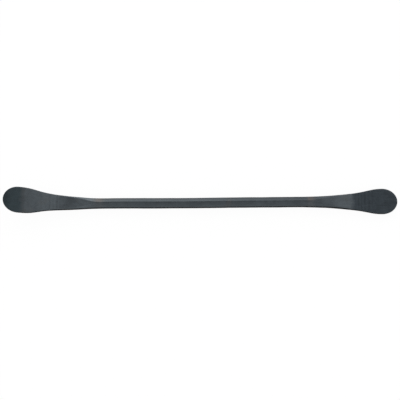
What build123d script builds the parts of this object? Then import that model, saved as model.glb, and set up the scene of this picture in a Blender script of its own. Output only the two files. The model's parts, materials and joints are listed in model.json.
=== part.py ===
"""Double-ended pry bar: one steel forging with a broad rounded spoon at each end of a hexagonal bar.

Frame: millimetres, origin on the bar's axis half way between the two tips, +X along the bar towards
the straight spoon, +Z up, the way the curved spoon's tip rises. The bar is symmetric about y = 0.
The hexagon stands on a corner, so its upper ridge flattens out into each spoon's upper face.
Each spoon is made with its tip towards +X: its outline and its side view are cut into one blank, the
long rims are rounded, and the bar's own sloping sides run on along the neck as slowly fading chamfers.
"""

import math
import os

from build123d import *

# Whole bar
LENGTH = 610.0  # tip to tip
ACROSS_FLATS = 14.7  # hexagonal stock
CORNER_DIAMETER = 16.5  # circle that its rounded corners lie on
RIDGE_SLOPE = 30.0  # tilt of the sides that meet at the upper ridge, in degrees from level
NECK_START = 153.0  # distance from the middle at which the stock begins to flatten
EDGE_RADIUS = 1.5  # forged rounding along every spoon rim
HALF_LENGTH = LENGTH / 2
REACH_OUT = 60.0  # taller and wider than any spoon, for the shaping cuts
OVERRUN = 3.0  # how far a side view runs on past the tip, so that the outline alone ends the spoon
ROOT_HEIGHT = 8.6  # half height of the blank where it starts, just over the bar's corners
SIDE_FLARE = 1500.0  # radius on which the bar's sloping sides spread along each neck
CORNER_FLARE = 300.0  # radius on which its rounded corners spread

# Curved spoon. Distances are measured back from its tip.
CURVED_WIDTH = 41.0
CURVED_NOSE = 22.5  # length of the elliptical tip
CURVED_FLANK = [(40.0, 19.4), (57.0, 15.65), (85.0, 11.5), (116.0, 9.05)]  # (distance, half width)
TIP_CLIMB = 0.1  # slope that the curved spoon still has at its tip
CURVED_SPINE = [  # (distance, rise of the middle, thickness)
    (-OVERRUN, 28.9, 3.8),
    (20.0, 24.8, 4.3),
    (40.0, 17.8, 5.0),
    (66.0, 10.2, 6.2),
    (94.0, 4.0, 8.4),
    (122.0, 1.3, 11.6),
]

# Straight spoon
STRAIGHT_WIDTH = 40.8
STRAIGHT_NOSE = 23.0
STRAIGHT_FLANK = [(52.0, 16.0), (80.0, 11.45), (110.0, 8.6)]
NECK_RADIUS = 1250.0  # of the neck's upper face, which is slightly arched
STRAIGHT_BEND = 70.0  # where the upper face turns from sloping neck to flat blade
BEND_HEIGHT = 2.5  # height of the upper face there
BEND_RADIUS = 60.0
BLADE_TIP_RISE = 1.0  # height of the blade's middle at the tip
BLADE_TIP_THICKNESS = 3.8


def spoon_plan(width, nose_length, flank):
    """Outline of one spoon seen from above: an elliptical nose and two waisted flanks."""
    with BuildSketch(Plane.XY.offset(-REACH_OUT)) as plan:
        with BuildLine():
            centre = (HALF_LENGTH - nose_length, 0)
            nose = EllipticalCenterArc(centre, nose_length, width / 2, start_angle=-90, arc_size=180)
            flanks = []
            for side, corner in ((-1, nose @ 0), (1, nose @ 1)):
                points = [(HALF_LENGTH - back, side * half) for back, half in flank]
                points.append((NECK_START, side * ACROSS_FLATS / 2))
                flanks.append(Spline(corner, *points, tangents=[(-1, 0), (-1, 0)]))
            Line(flanks[0] @ 1, flanks[1] @ 1)
        make_face()
    return plan.sketch


def curved_side():
    """Side view of the curved spoon: a flowing strip that thins and rises towards its tip."""
    with BuildSketch(Plane.XZ.offset(-REACH_OUT)) as side_view:
        with BuildLine():
            skins = []
            for side in (1, -1):
                points = [(HALF_LENGTH - back, rise + side * thick / 2) for back, rise, thick in CURVED_SPINE]
                points.append((NECK_START, side * ROOT_HEIGHT))
                skins.append(Spline(*points, tangents=[(-1, -TIP_CLIMB), (-1, 0)]))
            Line(skins[0] @ 0, skins[1] @ 0)
            Line(skins[0] @ 1, skins[1] @ 1)
        make_face()
    return side_view.sketch


def straight_side():
    """Side view of the straight spoon: one flat underside, and a sloping neck above a flat blade."""
    bend = HALF_LENGTH - STRAIGHT_BEND
    end = HALF_LENGTH + OVERRUN
    with BuildSketch(Plane.XZ.offset(-REACH_OUT)) as side_view:
        with BuildLine():
            neck = RadiusArc((NECK_START, ROOT_HEIGHT), (bend, BEND_HEIGHT), NECK_RADIUS)
            Polyline(
                neck @ 1,
                (end, BLADE_TIP_RISE + BLADE_TIP_THICKNESS / 2),
                (end, BLADE_TIP_RISE - BLADE_TIP_THICKNESS / 2),
                (NECK_START, -ROOT_HEIGHT),
                neck @ 0,
            )
        make_face()
        bend_corner = side_view.vertices().sort_by(lambda corner: abs(corner.X - bend))[0]
        fillet(bend_corner, BEND_RADIUS)
    return side_view.sketch


def spread(run, flare):
    """How far a surface has swung outwards on its flare after a run along X from the neck's start."""
    return flare - (flare**2 - run**2) ** 0.5


def rounded_corners():
    """Horn that rounds the hexagon's corners and flares out well clear of the tip."""
    end = HALF_LENGTH + OVERRUN
    rim = CORNER_DIAMETER / 2 + spread(end - NECK_START, CORNER_FLARE)
    with BuildPart() as horn:
        with BuildSketch(Plane.XZ):
            with BuildLine():
                flared = RadiusArc((NECK_START, CORNER_DIAMETER / 2), (end, rim), -CORNER_FLARE)
                Polyline(flared @ 1, (end, 0), (NECK_START, 0), flared @ 0)
            make_face()
        revolve(axis=Axis.X)
    return horn.part


def sloping_sides(rises, tilt):
    """Slab between two opposite sides of the hexagon, tilted from level, that follows the neck's rises,
    given as (distance from the tip, rise)."""
    lift = math.cos(math.radians(RIDGE_SLOPE))
    with BuildPart() as slab:
        with BuildSketch(Plane.XZ.offset(-REACH_OUT)):
            with BuildLine():
                skins = []
                for side in (1, -1):
                    points = []
                    for back, rise in rises:
                        x = HALF_LENGTH - back
                        half = ACROSS_FLATS / 2 + spread(x - NECK_START, SIDE_FLARE)
                        points.append((x, lift * rise + side * half))
                    points.append((NECK_START, side * ACROSS_FLATS / 2))
                    skins.append(Spline(*points, tangents=[(-1, 0), (-1, 0)], tangent_scalars=[0.5, 1]))
                Line(skins[0] @ 0, skins[1] @ 0)
                Line(skins[0] @ 1, skins[1] @ 1)
            make_face()
        extrude(amount=2 * REACH_OUT)
    return slab.part.rotate(Axis.X, tilt)


def spoon(plan, side_view, rises):
    """One spoon and its neck, from the hexagonal bar to the tip."""
    with BuildPart() as blank:
        extrude(plan, amount=2 * REACH_OUT)
        extrude(side_view, amount=2 * REACH_OUT, mode=Mode.INTERSECT)
        upright = blank.edges().filter_by(Axis.Z)
        crosswise = blank.edges().filter_by(Axis.Y)
        fillet(blank.edges() - upright - crosswise, EDGE_RADIUS)
        add(sloping_sides(rises, RIDGE_SLOPE), mode=Mode.INTERSECT)
        add(sloping_sides(rises, -RIDGE_SLOPE), mode=Mode.INTERSECT)
        add(rounded_corners(), mode=Mode.INTERSECT)
    return blank.part


curved_plan = spoon_plan(CURVED_WIDTH, CURVED_NOSE, CURVED_FLANK)
straight_plan = spoon_plan(STRAIGHT_WIDTH, STRAIGHT_NOSE, STRAIGHT_FLANK)
curved_rises = [(back, rise) for back, rise, _ in CURVED_SPINE]
level_rises = [(-OVERRUN, 0.0), (STRAIGHT_BEND, 0.0)]
curved_spoon = spoon(curved_plan, curved_side(), curved_rises)
straight_spoon = spoon(straight_plan, straight_side(), level_rises)

with BuildPart() as forged_bar:
    with BuildSketch(Plane.YZ):
        RegularPolygon(ACROSS_FLATS / 2, 6, major_radius=False, rotation=RIDGE_SLOPE)
        Circle(CORNER_DIAMETER / 2, mode=Mode.INTERSECT)
    extrude(amount=NECK_START, both=True)
    add(straight_spoon)
    add(curved_spoon.rotate(Axis.Z, 180))

os.makedirs("parts", exist_ok=True)
forged_bar.part.label = "forged_bar"
export_step(forged_bar.part, "parts/forged_bar.step")
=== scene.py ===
"""The looks of the spoon-ended pry bar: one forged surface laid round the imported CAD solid, black-oxide
steel, a pale floor and soft studio light. Lengths are in metres, in the CAD frame."""

import json
import math

import bmesh
import bpy
import numpy as np
from mathutils import Matrix, Vector, noise
from mathutils.bvhtree import BVHTree


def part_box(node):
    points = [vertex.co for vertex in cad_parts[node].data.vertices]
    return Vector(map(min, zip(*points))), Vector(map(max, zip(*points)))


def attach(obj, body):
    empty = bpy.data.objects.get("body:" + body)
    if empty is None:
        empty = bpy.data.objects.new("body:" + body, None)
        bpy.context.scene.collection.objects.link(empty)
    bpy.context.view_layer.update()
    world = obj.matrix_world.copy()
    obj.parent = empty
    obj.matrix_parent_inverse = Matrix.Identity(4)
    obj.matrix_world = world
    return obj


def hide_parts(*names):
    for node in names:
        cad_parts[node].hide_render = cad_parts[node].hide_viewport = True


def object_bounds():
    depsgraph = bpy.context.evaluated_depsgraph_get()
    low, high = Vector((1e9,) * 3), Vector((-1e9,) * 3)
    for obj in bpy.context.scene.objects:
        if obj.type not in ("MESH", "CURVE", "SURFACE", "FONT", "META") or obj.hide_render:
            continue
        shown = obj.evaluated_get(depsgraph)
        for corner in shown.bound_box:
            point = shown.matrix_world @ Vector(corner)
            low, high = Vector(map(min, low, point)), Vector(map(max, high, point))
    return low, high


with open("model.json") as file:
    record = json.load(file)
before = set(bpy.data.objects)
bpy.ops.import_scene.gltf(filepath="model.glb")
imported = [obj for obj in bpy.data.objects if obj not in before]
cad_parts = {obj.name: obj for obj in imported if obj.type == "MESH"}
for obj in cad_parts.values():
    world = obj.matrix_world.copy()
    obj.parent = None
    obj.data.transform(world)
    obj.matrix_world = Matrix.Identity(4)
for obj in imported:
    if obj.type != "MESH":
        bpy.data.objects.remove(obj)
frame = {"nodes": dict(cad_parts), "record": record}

CAD_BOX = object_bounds()
MM = 0.001
SEED = 24
TINY = 1e-9  # keeps divisions by a length clear of zero
TINY_AREA = 1e-12

# ---------------------------------------------------------------- what the frame says
NODE = "forged_bar"
SHANK = next(mount for mount in frame["record"]["mounts"] if mount["name"] == "hex_shank")
CORNER_RADIUS = SHANK["dims"]["r_mm"] * MM
NECK_START = SHANK["dims"]["length_mm"] * MM / 2
HALF_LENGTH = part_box(NODE)[1].x

# ---------------------------------------------------------------- shape of the forging
APOTHEM = 7.35 * MM  # from the shank's axis to the middle of each side of the hexagon
RIDGE_SLOPE = math.radians(30)
RIM_RADIUS = 1.5 * MM  # rounding between a spoon's faces and its side walls
NOSE = 22 * MM  # end zone where the rings close in on the tip
SIDE_FLARE = 1500 * MM  # radius on which the hexagon's sloping sides spread along each neck
CORNER_FLARE = 300 * MM  # radius on which its corners spread

# how the CAD mesh is measured
RAY_START = 60 * MM  # well clear of the bar
RAY_STEP = 0.5 * MM
LAST_RAY = 0.05 * MM  # from the tip
TIP_MARGIN = 2 * MM  # inside this the rounded rim hides the height of the broad faces
FACET_REACH = {-1: 9 * MM, 1: 4 * MM}  # how far the fit looks to round off the CAD mesh's facets
WIDTH_REACH = 6 * MM

# how finely the surface is drawn
SHANK_STEP = 1.5 * MM
SPOON_STEP = 1.0 * MM
NOSE_RINGS = 36
QUARTER_SPANS = 26  # on each quarter of a ring
FINE = 240  # points on each quarter's outline before it is resampled
TURN_WEIGHT = 0.8  # how strongly turning draws points together, against length
TURN_SPREAD = 9  # points over which that is smoothed
NO_HEADING = 1e-8  # steps shorter than this have no direction
MERGE_DISTANCE = 0.002 * MM
SHORTEST_EDGE = 0.001 * MM


def cad_tree():
    mesh = frame["nodes"][NODE].data
    points = [v.co.copy() for v in mesh.vertices]
    return BVHTree.FromPolygons(points, [tuple(p.vertices) for p in mesh.polygons])


def local_fit(known_x, known, wanted_x, reach):
    """Value at each wanted x of a parabola fitted to the known values near it. A fit of the squared
    half width keeps an elliptical nose exact."""
    fitted = []
    for x in wanted_x:
        near = np.abs(known_x - x) <= reach
        weight = 1.01 - np.abs(known_x[near] - x) / reach  # never quite zero
        fitted.append(np.polyfit(known_x[near] - x, known[near], 2, w=weight)[2])
    return np.array(fitted)


def ring_stations():
    """x of every ring from neck start to tip, for the +X spoon."""
    steps = round((HALF_LENGTH - NOSE - NECK_START) / SPOON_STEP)
    body = np.linspace(NECK_START, HALF_LENGTH - NOSE, steps, endpoint=False)
    turn = np.linspace(0, math.pi / 2, NOSE_RINGS)
    return np.concatenate([body, HALF_LENGTH - NOSE + NOSE * np.sin(turn)])


def spoon_profile(tree, side):
    """x, half width, upper height and lower height of every ring of one spoon, neck first."""
    known_x = np.arange(NECK_START, HALF_LENGTH - LAST_RAY, RAY_STEP)
    upper, lower, width2 = [], [], []
    for x in known_x:
        top = tree.ray_cast(Vector((side * x, 0, RAY_START)), Vector((0, 0, -1)))[0].z
        bottom = tree.ray_cast(Vector((side * x, 0, -RAY_START)), Vector((0, 0, 1)))[0].z
        middle = (top + bottom) / 2
        wall = tree.ray_cast(Vector((side * x, RAY_START, middle)), Vector((0, -1, 0)))[0].y
        upper.append(top)
        lower.append(bottom)
        width2.append(wall**2)
    x = ring_stations()
    clear = known_x < HALF_LENGTH - TIP_MARGIN
    reach = FACET_REACH[side]
    upper = local_fit(known_x[clear], np.array(upper)[clear], x, reach)
    lower = local_fit(known_x[clear], np.array(lower)[clear], x, reach)
    width2 = local_fit(known_x, np.array(width2), x, WIDTH_REACH)
    width2[-1] = 0
    return x, np.sqrt(np.clip(width2, 0, None)), upper, lower


def flared(run, radius):
    """How far a surface has swung outwards on its flare after a run along X from the neck's start."""
    return radius - math.sqrt(radius**2 - run**2)


def trimmed(y, z, run, rise):
    """Draws points in towards the neck's middle until they lie inside the fading hexagon and its corners."""
    height = z - rise
    lean = np.abs(y) * math.sin(RIDGE_SLOPE) + np.abs(height) * math.cos(RIDGE_SLOPE)
    facet = (APOTHEM + flared(run, SIDE_FLARE)) / np.maximum(lean, TINY)
    corner = (CORNER_RADIUS + flared(run, CORNER_FLARE)) / np.maximum(np.hypot(y, height), TINY)
    shrink = np.minimum(1, np.minimum(facet, corner))
    return y * shrink, rise + height * shrink


def resampled(y, z):
    """One quarter's outline with its points spread by length and, nearly as strongly, by turning."""
    step = np.hypot(np.diff(y), np.diff(z))
    heading = np.unwrap(np.arctan2(np.diff(z), np.diff(y)))
    turn = np.abs(np.diff(heading, prepend=heading[0]))
    turn[step < NO_HEADING] = 0
    turning = np.convolve(turn, np.ones(TURN_SPREAD) / TURN_SPREAD, mode="same")
    measure = step / max(step.sum(), TINY) + TURN_WEIGHT * turning / max(turning.sum(), TINY)
    along = np.concatenate([[0], np.cumsum(measure)])
    wanted = np.linspace(0, along[-1], QUARTER_SPANS + 1)
    return np.stack([np.interp(wanted, along, y), np.interp(wanted, along, z)], 1)


def quarter(face, sign, middle, half, slope, run, rise):
    """From the +Y wall's middle to the middle of one broad face, at height face. sign is +1 for the
    upper face and -1 for the lower one; slope is the change of half**2 along the bar."""
    wall = abs(face - middle) - RIM_RADIUS
    climb = np.linspace(0, 1, FINE // 2, endpoint=False)
    y = half * np.cos(np.linspace(0, math.pi / 2, FINE))
    # distance from the outline, to first order, from the function half(x)**2 - y**2
    steep = np.maximum(np.hypot(slope, 2 * y), TINY)
    inside = np.clip((half**2 - y**2) / steep, 0, RIM_RADIUS)
    drop = RIM_RADIUS - np.sqrt(RIM_RADIUS**2 - (RIM_RADIUS - inside) ** 2)
    outline_y = np.concatenate([np.full(len(climb), half), y])
    outline_z = np.concatenate([middle + sign * wall * climb, face - sign * drop])
    return resampled(*trimmed(outline_y, outline_z, run, rise))


def spoon_grid(tree, side):
    """Points of one spoon: one row for each ring, going round from the +Y wall over the top."""
    x, half, upper, lower = spoon_profile(tree, side)
    slope = np.gradient(half**2, x)
    mirror = np.array([-1, 1])
    rows = []
    for i in range(len(x)):
        middle = (upper[i] + lower[i]) / 2
        rise = middle if side == -1 else 0  # the straight spoon's neck stays on the shank's axis
        run = x[i] - NECK_START
        top = quarter(upper[i], 1, middle, half[i], slope[i], run, rise)
        under = quarter(lower[i], -1, middle, half[i], slope[i], run, rise)
        ring = np.concatenate([top[:-1], (top * mirror)[:0:-1], (under * mirror)[:-1], under[:0:-1]])
        rows.append(np.insert(ring, 0, side * x[i], axis=1))
    return np.array(rows)


def bar_grid():
    """Points of the whole bar from the curved tip to the straight tip."""
    tree = cad_tree()
    curved = spoon_grid(tree, -1)[::-1]
    straight = spoon_grid(tree, 1)
    steps = round(2 * NECK_START / SHANK_STEP)
    shank = [curved[-1] * (1 - t) + straight[0] * t for t in np.linspace(0, 1, steps + 1)[1:-1]]
    return np.concatenate([curved, np.array(shank), straight])


def mesh_object(name, grid):
    rings, around = grid.shape[:2]
    faces = []
    for i in range(rings - 1):
        for j in range(around):
            k = (j + 1) % around
            faces.append((i * around + j, i * around + k, (i + 1) * around + k, (i + 1) * around + j))
    mesh = bpy.data.meshes.new(name)
    mesh.from_pydata(grid.reshape(-1, 3).tolist(), [], faces)
    obj = bpy.data.objects.new(name, mesh)
    bpy.context.scene.collection.objects.link(obj)
    return obj


def close_tips(obj):
    """Merges the points that meet on each tip's edge, so that the mesh is closed, and shades it smooth."""
    work = bmesh.new()
    work.from_mesh(obj.data)
    bmesh.ops.remove_doubles(work, verts=work.verts, dist=MERGE_DISTANCE)
    bmesh.ops.dissolve_degenerate(work, dist=SHORTEST_EDGE, edges=work.edges)
    bmesh.ops.recalc_face_normals(work, faces=work.faces)
    work.to_mesh(obj.data)
    work.free()
    for p in obj.data.polygons:
        p.use_smooth = True


# ---------------------------------------------------------------- the hand of the forge
SOFTENING_PASSES = 2
SOFT_FADE = 25 * MM  # run before the nose over which the softening fades out
BLUR_REACH = 4 * MM
BLUR_FADE = 8 * MM
BLUR_START = NECK_START - 12 * MM
BLUR_END = HALF_LENGTH - 76 * MM  # the straight spoon's crease, a little further out, stays crisp
CROWN = 0.12 * MM
CROWN_FADE = 30 * MM  # run past the neck's start over which the crown fades out
BOW = 0.5 * MM  # how far the shank strays from the axis, towards -Y
BOW_CENTRE = -22 * MM
BOW_REACH = 100 * MM
WANDER = 0.1 * MM
WIDTH_WANDER = 0.012  # share of the width
UNEVENNESS = 0.05 * MM
DENT_SIZE = 11 * MM
SMALL_DENT_SIZE = 4.5 * MM
SMALL_DENT_DEPTH = 0.5  # against the larger ones
TIP_FADE = 30 * MM  # all unevenness fades out towards the tips
RIPPLE = 0.04 * MM
RIPPLE_PERIOD = 5.5 * MM
RIPPLE_START = 36 * MM  # from the tip
RIPPLE_END_CURVED = 89 * MM
RIPPLE_END_STRAIGHT = 69 * MM
RIPPLE_FADE = 6 * MM
RIPPLE_DRIFT = 1.5  # radians by which the ripples fall out of step
SHARP_RADIUS = 1.2 * MM  # rounding at which a point counts wholly as an edge
EDGE_SMOOTHING = 3


def soften_corners(grid):
    """Rounds the creases that run along the shank and necks, as a rolled and forged bar has them."""
    start = HALF_LENGTH - NOSE
    strength = np.clip((start - np.abs(grid[:, :1, :1])) / SOFT_FADE, 0, 1)
    for _ in range(SOFTENING_PASSES):
        blurred = (np.roll(grid, 1, 1) + 2 * grid + np.roll(grid, -1, 1)) / 4
        grid = grid + strength * (blurred - grid)
    return grid


def blur_lengthwise(grid):
    """Blends the rings of the necks with their neighbours."""
    x = grid[:, 0, 0]
    strength = np.clip(np.minimum(np.abs(x) - BLUR_START, BLUR_END - np.abs(x)) / BLUR_FADE, 0, 1)
    out = grid.copy()
    for i in np.nonzero(strength)[0]:
        near = np.abs(x - x[i]) < 3 * BLUR_REACH
        weight = np.exp(-(((x[near] - x[i]) / BLUR_REACH) ** 2) / 2)
        blend = np.tensordot(weight, grid[near], 1) / weight.sum()
        blend[:, 0] = x[i]
        out[i] += strength[i] * (blend - grid[i])
    return out


def wandering(x, period, seed):
    """A smooth random curve along x, about -1 to 1, that turns about once in each period."""
    knots = np.arange(-HALF_LENGTH - 2 * period, HALF_LENGTH + 3 * period, period)
    heights = np.random.default_rng(seed).uniform(-1, 1, len(knots))
    place = (x - knots[0]) / period
    left = np.clip(np.floor(place).astype(int), 0, len(knots) - 2)
    t = place - left
    ease = t * t * (3 - 2 * t)
    return heights[left] * (1 - ease) + heights[left + 1] * ease


def ring_normals(grid):
    """Outward direction at every point, square to the ring and, nearly, to the bar."""
    along = np.gradient(grid, axis=0)
    round_ring = np.roll(grid, -1, 1) - np.roll(grid, 1, 1)
    normal = np.cross(along, round_ring)
    return normal / np.maximum(np.linalg.norm(normal, axis=2, keepdims=True), TINY_AREA)


def crowned_facets(grid):
    """Swells the middle of each side of the hexagon, as rolling leaves it."""
    fade = np.clip((NECK_START + CROWN_FADE - np.abs(grid[:, :1, 0])) / CROWN_FADE, 0, 1)
    half_side = math.pi / 6  # half of the angle that one side of a hexagon takes up
    angle = np.arctan2(grid[..., 2], grid[..., 1])
    off_centre = (angle + half_side) % (2 * half_side) - half_side
    swell = CROWN * (1 - (np.tan(off_centre) / math.tan(half_side)) ** 2)
    radius = np.maximum(np.hypot(grid[..., 1], grid[..., 2]), TINY)
    grid = grid.copy()
    grid[..., 1:] *= (1 + fade * swell / radius)[..., None]
    return grid


def ripples(x, from_tip):
    """Depth of the hammer ripples that run across each spoon, between its broad end and its neck."""
    reach = np.where(x < 0, RIPPLE_END_CURVED, RIPPLE_END_STRAIGHT)
    where = np.clip(np.minimum(from_tip - RIPPLE_START, reach - from_tip) / RIPPLE_FADE, 0, 1)
    drift = RIPPLE_DRIFT * wandering(x, period=18 * MM, seed=SEED + 3)
    return where * RIPPLE * np.sin(2 * math.pi * from_tip / RIPPLE_PERIOD + drift)


def dent(point):
    """About -1.5 to 1.5, with bumps of two sizes."""
    place = Vector(point)
    return noise.noise(place / DENT_SIZE) + SMALL_DENT_DEPTH * noise.noise(place / SMALL_DENT_SIZE)


def uneven(grid):
    """Bow and slight wandering of the bar, ripples across the spoons and shallow dents all over."""
    x = grid[:, 0, 0]
    from_tip = HALF_LENGTH - np.abs(x)
    fade = np.clip(from_tip / TIP_FADE, 0, 1)
    grid = grid.copy()
    bow = BOW * (1 + np.cos(math.pi * np.clip((x - BOW_CENTRE) / BOW_REACH, -1, 1))) / 2
    sideways = fade * WANDER * wandering(x, period=45 * MM, seed=SEED) - bow
    upwards = fade * WANDER * wandering(x, period=60 * MM, seed=SEED + 1)
    widening = fade * WIDTH_WANDER * wandering(x, period=22 * MM, seed=SEED + 2)
    grid[..., 1] = (grid[..., 1] + sideways[:, None]) * (1 + widening[:, None])
    grid[..., 2] += upwards[:, None]
    normal = ring_normals(grid)
    faces_up = np.abs(normal[..., 2:]) ** 3
    grid += normal * faces_up * ripples(x, from_tip)[:, None, None]
    dents = np.array([[dent(point) for point in ring] for ring in grid.tolist()])
    return grid + normal * (fade[:, None] * UNEVENNESS * dents)[..., None]


def inside_cad_box(grid):
    return np.clip(grid, np.array(CAD_BOX[0]), np.array(CAD_BOX[1]))


def mark_edges(obj):
    """Stores how sharply each point of the mesh bulges, from 0 on the flats to 1 along the rims."""
    mesh = obj.data
    points = np.empty(len(mesh.vertices) * 3)
    mesh.vertices.foreach_get("co", points)
    points = points.reshape(-1, 3)
    normals = np.array([v.normal for v in mesh.vertices])
    ends = np.empty(len(mesh.edges) * 2, dtype=int)
    mesh.edges.foreach_get("vertices", ends)
    a, b = ends.reshape(-1, 2).T
    step = points[b] - points[a]
    length2 = np.maximum((step**2).sum(1), TINY_AREA)
    bulge = np.zeros(len(points))
    count = np.zeros(len(points))
    for start, way in ((a, step), (b, -step)):
        np.add.at(bulge, start, -2 * (way * normals[start]).sum(1) / length2)
        np.add.at(count, start, 1)
    bulge /= np.maximum(count, 1)
    edge = np.clip(bulge * SHARP_RADIUS, 0, 1)
    for _ in range(EDGE_SMOOTHING):
        total = edge * 2
        weight = np.full(len(edge), 2.0)
        np.add.at(total, a, edge[b])
        np.add.at(total, b, edge[a])
        np.add.at(weight, a, 1)
        np.add.at(weight, b, 1)
        edge = total / weight
    mesh.attributes.new("edge", "FLOAT", "POINT").data.foreach_set("value", edge)


# ---------------------------------------------------------------- material
# colours in linear light
OXIDE = (0.104, 0.121, 0.134)
BROWN_OXIDE = (0.155, 0.140, 0.132)
WARM_OXIDE = (0.118, 0.116, 0.110)
BARE_STEEL = (0.26, 0.265, 0.27)
BLACK = (0.0, 0.0, 0.0)

# tints of the oxide
PLAIN = (1.0, 1.0, 1.0)
TEAL = (0.88, 1.02, 1.04)
SLATE = (0.95, 1.00, 1.05)
# Painted light and shade: the brightness column makes the sloping necks lighter and the flat tips darker, as
# the light falls on their slopes.
TINT_AND_PAINTED_SHADE_ZONES = [  # distance from the middle of the bar in mm, brightness that paints light and shade onto the oxide, its tint, share of brown
    (-305, 0.62, TEAL, 0.0),
    (-281, 0.56, TEAL, 0.0),
    (-276, 0.74, PLAIN, 0.1),
    (-271, 0.98, PLAIN, 0.0),
    (-255, 1.00, PLAIN, 0.0),
    (-243, 1.16, PLAIN, 0.0),
    (-225, 1.18, PLAIN, 0.0),
    (-212, 1.08, PLAIN, 0.0),
    (-200, 1.16, PLAIN, 0.0),
    (-174, 1.30, PLAIN, 0.0),
    (-165, 1.08, PLAIN, 0.3),
    (-158, 1.00, PLAIN, 0.8),
    (-150, 0.92, PLAIN, 0.1),
    (-100, 0.88, PLAIN, 0.0),
    (164, 0.90, PLAIN, 0.0),
    (169, 1.02, PLAIN, 0.8),
    (173, 1.00, PLAIN, 0.7),
    (178, 0.90, PLAIN, 0.0),
    (200, 1.00, PLAIN, 0.0),
    (212, 1.18, PLAIN, 0.0),
    (232.5, 1.18, PLAIN, 0.0),
    (238.5, 0.72, SLATE, 0.0),
    (305, 0.65, SLATE, 0.0),
]

# noise, in features per metre
BORDER_SCALE = 70.0
CLOUD_SCALE = 95.0
GRAIN_SCALE = 900.0
DRAWN_SCALE = 520.0
WARM_SCALE = 38.0
RUB_SCALE = 160.0
SCRATCH_SCALE = 1500.0
SCRATCH_PATCH_SCALE = 30.0
PIT_SCALE = 420.0
GRINDING_SCALE = 1400.0
DRAWN_OUT = (0.08, 1, 1)  # noise stretched along the bar
SCRATCHED = (0.05, 1, 1)
GROUND_ACROSS = (1, 0.07, 0.07)  # noise stretched across it
NOISE_LOW, NOISE_HIGH = 0.3, 0.7  # between these most of a noise's values lie

BORDER_RAGGEDNESS = 14 * MM
BROWN_SIDE = (-2 * MM, 3 * MM)  # the temper rings are stronger on the bar's +Y side
BROWN_ON_FRONT = 0.25
CLOUD_DEPTH = 0.09
GRAIN_DEPTH = 0.05
DRAWN_DEPTH = 0.06
WARM_BAND = (0.58, 0.74)  # noise values between which the warm patches fade in
WARM_SHARE = 0.35
SPOON_FROM = NECK_START + 20 * MM
SPOON_FULL = NECK_START + 60 * MM
WALL_LEAN = (0.80, 0.50)  # how far a normal points up or down where the painted wall shade starts and is full
# strength of the painted shade on the spoons' side walls
RIM_PAINTED_SHADE = 0.6
RUBBED_EDGE = (0.3, 0.9)  # sharpness of the edge, from mark_edges, where rubbing starts and is full
RUBBED_BAND = (0.54, 0.66)
RUBBED_SHARE = 0.385
SCRATCH_BAND = (0.68, 0.74)
SCRATCH_PATCH_BAND = (0.5, 0.62)
SCRATCHED_SHARE = 0.35
METALLIC = 0.92
ROUGHNESS = (0.23, 0.34)
BARE_SMOOTHNESS = 0.1  # how much less rough bare steel is
PIT_BAND = (0.30, 0.42)
RELIEF_DEPTH = 0.02 * MM
GRAIN_RELIEF = 0.5
DRAWN_RELIEF = 0.5
PIT_RELIEF = 0.8
GRINDING_RELIEF = 0.8


class Nodes:
    """A node tree with short calls: add(kind, {input: value or socket}, setting=value)."""

    def __init__(self, tree):
        self.tree = tree

    def add(self, kind, inputs=None, **settings):
        made = self.tree.nodes.new(kind)
        for name, value in settings.items():
            setattr(made, name, value)
        for key, value in (inputs or {}).items():
            if isinstance(value, bpy.types.NodeSocket):
                self.tree.links.new(value, made.inputs[key])
            else:
                made.inputs[key].default_value = value
        return made

    def math(self, operation, a, b=0.0, c=0.0, clamp=False):
        inputs = {0: a, 1: b, 2: c}
        return self.add("ShaderNodeMath", inputs, operation=operation, use_clamp=clamp).outputs[0]

    def noise(self, where, scale, detail=4.0, roughness=0.6):
        inputs = {"Vector": where, "Scale": scale, "Detail": detail, "Roughness": roughness}
        return self.add("ShaderNodeTexNoise", inputs).outputs["Fac"]

    def stretched(self, where, scale):
        return self.add("ShaderNodeMapping", {"Vector": where, "Scale": scale}).outputs[0]

    def split(self, vector):
        """X, Y and Z of a vector."""
        return self.add("ShaderNodeSeparateXYZ", {0: vector}).outputs

    def ramp(self, fac, stops):
        made = self.add("ShaderNodeValToRGB", {"Fac": fac})
        elements = made.color_ramp.elements
        for _ in stops[2:]:
            elements.new(0.5)
        for element, (position, colour) in zip(elements, stops):
            element.position = position
            element.color = (*colour, 1)
        return made.outputs["Color"]

    def span(self, value, low, high, to_low=0.0, to_high=1.0):
        """Smooth step from to_low at low to to_high at high."""
        inputs = {"Value": value, "From Min": low, "From Max": high, "To Min": to_low, "To Max": to_high}
        return self.add("ShaderNodeMapRange", inputs, interpolation_type="SMOOTHSTEP").outputs[0]

    def swing(self, value, depth):
        """Noise turned into a swing of one depth either way."""
        return self.span(value, NOISE_LOW, NOISE_HIGH, -depth, depth)

    def mix(self, fac, a, b, blend="MIX"):
        made = self.add("ShaderNodeMix", data_type="RGBA", blend_type=blend)
        for key, value in ((0, fac), (6, a), (7, b)):
            if isinstance(value, bpy.types.NodeSocket):
                self.tree.links.new(value, made.inputs[key])
            elif key == 0:
                made.inputs[key].default_value = value
            else:
                made.inputs[key].default_value = (*value, 1)
        return made.outputs[2]


def new_material(name):
    material = bpy.data.materials.new(name)
    material.use_nodes = True
    material.node_tree.nodes.clear()
    return material, Nodes(material.node_tree)


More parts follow.
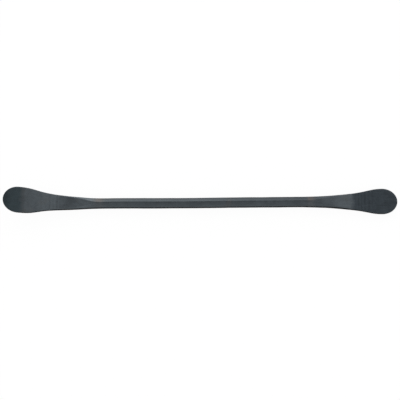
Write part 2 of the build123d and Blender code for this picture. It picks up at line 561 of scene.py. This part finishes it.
def oxide_with_painted_shade(n, place):
    """Oxide that changes along the bar, with ragged borders: quenched tips, necks, temper rings, shank. Its
    brightness is painted light and shade, darker on the flat tips and lighter on the sloping necks.
    """
    axes = n.split(place)
    patches = n.noise(place, BORDER_SCALE, detail=3.0)
    ragged = n.math("MULTIPLY_ADD", n.math("SUBTRACT", patches, 0.5), BORDER_RAGGEDNESS, axes["X"])
    along = n.math("MULTIPLY_ADD", ragged, 0.5 / HALF_LENGTH, 0.5)
    shades, browns = [], []
    for x_mm, painted_brightness, tint, share in TINT_AND_PAINTED_SHADE_ZONES:
        at = (x_mm * MM / HALF_LENGTH + 1) / 2
        shades.append((at, tuple(painted_brightness * part for part in tint)))
        browns.append((at, (share, share, share)))
    # painted light and shade along the bar, with the oxide's tints
    shade = n.ramp(along, shades)
    brown = n.math("MULTIPLY", n.ramp(along, browns), n.span(axes["Y"], *BROWN_SIDE, BROWN_ON_FRONT, 1.0))
    return n.mix(1.0, n.mix(brown, OXIDE, BROWN_OXIDE), shade, "MULTIPLY")


def mottled(n, colour, place, clouds, grain, drawn):
    """Colour made lighter and darker by patches, grain and drawn-out streaks, and warmer in places."""
    value = n.math("ADD", n.swing(clouds, CLOUD_DEPTH), n.swing(grain, GRAIN_DEPTH))
    value = n.math("ADD", value, n.swing(drawn, DRAWN_DEPTH))
    value = n.math("ADD", value, 1.0)
    shade = n.add("ShaderNodeCombineXYZ", {0: value, 1: value, 2: value}).outputs[0]
    colour = n.mix(1.0, colour, shade, "MULTIPLY")
    warm_patches = n.span(n.noise(place, WARM_SCALE), *WARM_BAND, 0.0, WARM_SHARE)
    return n.mix(warm_patches, colour, WARM_OXIDE)


def painted_wall_shade(n, colour, on_spoon):
    """Painted shade on the side walls of the spoons, darkest where their normals turn from up or down
    towards level.
    """
    normal = n.split(n.add("ShaderNodeNewGeometry").outputs["Normal"])
    # painted shade where the spoons' walls turn away from up and down
    wall = n.math("MULTIPLY", n.span(n.math("ABSOLUTE", normal["Z"]), *WALL_LEAN), on_spoon)
    return n.mix(n.math("MULTIPLY", wall, RIM_PAINTED_SHADE), colour, BLACK)


def bare_share(n, place):
    """Where bare steel shows: edges rubbed bright in places, and a few fine scratches."""
    edge = n.add("ShaderNodeAttribute", attribute_name="edge").outputs["Fac"]
    rub_patches = n.span(n.noise(place, RUB_SCALE, detail=5.0), *RUBBED_BAND)
    rubbed = n.math("MULTIPLY", n.span(edge, *RUBBED_EDGE), rub_patches)
    lines = n.noise(n.stretched(place, SCRATCHED), SCRATCH_SCALE, detail=2.0)
    line_patches = n.noise(place, SCRATCH_PATCH_SCALE)
    scratches = n.math("MULTIPLY", n.span(lines, *SCRATCH_BAND), n.span(line_patches, *SCRATCH_PATCH_BAND))
    scratches = n.math("MULTIPLY", scratches, SCRATCHED_SHARE)
    return n.math("MULTIPLY_ADD", rubbed, RUBBED_SHARE, scratches, clamp=True)


def fine_relief(n, place, grain, drawn, on_spoon):
    """Bump from grain, pits and drawn-out streaks, with grinding marks across the spoons."""
    pits = n.span(n.noise(place, PIT_SCALE, detail=2.0), *PIT_BAND)
    ground = n.noise(n.stretched(place, GROUND_ACROSS), GRINDING_SCALE, detail=3.0)
    ground = n.math("MULTIPLY", ground, on_spoon)
    relief = n.math("MULTIPLY_ADD", grain, GRAIN_RELIEF, n.math("MULTIPLY", pits, PIT_RELIEF))
    relief = n.math("MULTIPLY_ADD", ground, GRINDING_RELIEF, relief)
    relief = n.math("MULTIPLY_ADD", drawn, DRAWN_RELIEF, relief)
    inputs = {"Height": relief, "Strength": 1.0, "Distance": RELIEF_DEPTH}
    return n.add("ShaderNodeBump", inputs).outputs[0]


def black_oxide_steel():
    material, n = new_material("black_oxide_steel")
    place = n.add("ShaderNodeTexCoord").outputs["Object"]
    on_spoon = n.span(n.math("ABSOLUTE", n.split(place)["X"]), SPOON_FROM, SPOON_FULL)
    clouds = n.noise(place, CLOUD_SCALE, detail=5.0, roughness=0.65)
    grain = n.noise(place, GRAIN_SCALE, detail=3.0, roughness=0.7)
    drawn = n.noise(n.stretched(place, DRAWN_OUT), DRAWN_SCALE)

    bare = bare_share(n, place)
    colour = oxide_with_painted_shade(n, place)
    colour = mottled(n, colour, place, clouds, grain, drawn)
    colour = painted_wall_shade(n, colour, on_spoon)
    colour = n.mix(bare, colour, BARE_STEEL)
    rough = n.span(clouds, NOISE_LOW, NOISE_HIGH, *ROUGHNESS)
    rough = n.math("MULTIPLY_ADD", bare, -BARE_SMOOTHNESS, rough)
    steel = n.add("ShaderNodeBsdfPrincipled", {
        "Base Color": colour,
        "Metallic": METALLIC,
        "Roughness": rough,
        "Normal": fine_relief(n, place, grain, drawn, on_spoon),
    })
    n.add("ShaderNodeOutputMaterial", {"Surface": steel.outputs[0]})
    return material


# ---------------------------------------------------------------- floor and light
FLOOR_SIZE = 8.0
FLOOR_GLOW = 0.94
FLOOR_PAPER = 0.1
WHITE = (1.0, 1.0, 1.0)
LAMP_TINT = (1.0, 0.98, 0.93)
TENT = [  # tilt from overhead towards the back in degrees, radiance
    (-180, 0.10),
    (-122, 0.10),
    (-104, 0.80),
    (-60, 0.80),
    (-50, 0.66),
    (-30, 0.40),
    (-5, 0.36),
    (22, 0.36),
    (40, 0.62),
    (58, 0.92),
    (74, 0.94),
    (83, 0.64),
    (94, 0.14),
    (180, 0.10),
]
SIDE_PANELS = [  # tilt from overhead towards the right in degrees, radiance added
    (-90, 0.20),
    (-24, 0.20),
    (-14, 0.12),
    (-6, 0.0),
    (8, 0.0),
    (15, 0.36),
    (20, 0.38),
    (28, 0.20),
    (60, 0.12),
    (90, 0.12),
]
PANELS_FRONT = (-40, -15)  # the panels fade in and out between these tilts towards the back
PANELS_BACK = (65, 45)


def floor():
    """Pale floor that the bar lies on: it shows a faint contact shadow and stays out of reflections."""
    bpy.ops.mesh.primitive_plane_add(size=FLOOR_SIZE, location=(0, 0, CAD_BOX[0].z))
    plane = bpy.context.object
    plane.name = "floor"
    plane.visible_glossy = False
    material, n = new_material("pale_floor")
    glow = n.add("ShaderNodeEmission", {"Color": (*WHITE, 1), "Strength": FLOOR_GLOW}).outputs[0]
    paper = n.add("ShaderNodeBsdfDiffuse", {"Color": (FLOOR_PAPER, FLOOR_PAPER, FLOOR_PAPER, 1)}).outputs[0]
    both = n.add("ShaderNodeAddShader", {0: glow, 1: paper}).outputs[0]
    n.add("ShaderNodeOutputMaterial", {"Surface": both})
    plane.data.materials.append(material)


def softbox(name, width, height, radiance, tilt_back, tilt_right, distance):
    """Area light seen from the origin at a tilt from overhead, towards +Y and +X, facing the origin."""
    light = bpy.data.lights.new(name, "AREA")
    light.shape = "RECTANGLE"
    light.size = width
    light.size_y = height
    light.energy = radiance * math.pi * width * height
    light.color = LAMP_TINT
    lamp = bpy.data.objects.new(name, light)
    back, right = math.radians(tilt_back), math.radians(tilt_right)
    towards = Vector((math.sin(right), math.cos(right) * math.sin(back), math.cos(right) * math.cos(back)))
    facing = towards.to_track_quat("Z", "Y").to_matrix().to_4x4()
    lamp.matrix_world = Matrix.Translation(towards * distance) @ facing
    bpy.context.scene.collection.objects.link(lamp)


def radiance_ramp(n, tilt, whole, levels):
    """Grey that follows (tilt in degrees, radiance) pairs over a whole range of tilts about overhead."""
    stops = [(at / whole + 0.5, (level, level, level)) for at, level in levels]
    return n.ramp(n.math("MULTIPLY_ADD", tilt, 1 / whole, 0.5), stops)


def studio_world():
    """White for the camera; in reflections a tent that is bright low at the front and back and dim
    overhead, with panels to the left and right of the dim part."""
    world = bpy.data.worlds.new("studio")
    bpy.context.scene.world = world
    world.use_nodes = True
    world.node_tree.nodes.clear()
    n = Nodes(world.node_tree)
    way = n.split(n.add("ShaderNodeTexCoord").outputs["Generated"])
    degrees = 180 / math.pi
    tilt_back = n.math("MULTIPLY", n.math("ARCTAN2", way["Y"], way["Z"]), degrees)
    tilt_right = n.math("MULTIPLY", n.math("ARCSINE", way["X"]), degrees)
    level = radiance_ramp(n, tilt_back, 360, TENT)
    panel = radiance_ramp(n, tilt_right, 180, SIDE_PANELS)
    overhead = n.math("MULTIPLY", n.span(tilt_back, *PANELS_FRONT), n.span(tilt_back, *PANELS_BACK))
    level = n.mix(1.0, level, n.mix(overhead, BLACK, panel), "ADD")
    tent = n.add("ShaderNodeBackground", {"Color": level, "Strength": 1.0}).outputs[0]
    white = n.add("ShaderNodeBackground", {"Color": (*WHITE, 1), "Strength": 1.0}).outputs[0]
    seen = n.add("ShaderNodeLightPath").outputs["Is Camera Ray"]
    both = n.add("ShaderNodeMixShader", {0: seen, 1: tent, 2: white}).outputs[0]
    n.add("ShaderNodeOutputWorld", {"Surface": both})


# ---------------------------------------------------------------- camera
VIEW_ELEVATION = 73.0
ROLL = 0.41
CAMERA_DISTANCE = 1.732
LENS = 100.0
SENSOR = 36.0
AIM_RIGHT = -2.32 * MM
AIM_UP = 4.4 * MM


def camera():
    """Long lens, almost overhead, rolled slightly, aimed just off the middle of the bar."""
    data = bpy.data.cameras.new("camera")
    data.lens = LENS
    data.sensor_width = SENSOR
    cam = bpy.data.objects.new("camera", data)
    bpy.context.scene.collection.objects.link(cam)
    bpy.context.scene.camera = cam
    lift = math.radians(VIEW_ELEVATION)
    back = Vector((0, -math.cos(lift), math.sin(lift)))
    right = Vector((1, 0, 0))
    turn = Matrix.Rotation(math.radians(-ROLL), 3, back)
    up = turn @ back.cross(right)
    right = turn @ right
    aim = right * AIM_RIGHT + up * AIM_UP
    axes = Matrix((right, up, back)).transposed().to_4x4()
    cam.matrix_world = Matrix.Translation(aim + back * CAMERA_DISTANCE) @ axes


# ---------------------------------------------------------------- the scene
grid = blur_lengthwise(soften_corners(bar_grid()))
grid = inside_cad_box(uneven(crowned_facets(grid)))
bar = mesh_object("forged_bar_surface", grid)
close_tips(bar)
mark_edges(bar)
bar.data.materials.append(black_oxide_steel())
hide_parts(NODE)
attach(bar, "root")

floor()
studio_world()
softbox("back_strip", width=1.2, height=0.45, radiance=0.75, tilt_back=74, tilt_right=-16, distance=1.6)
camera()
bpy.context.scene.view_settings.view_transform = "Standard"
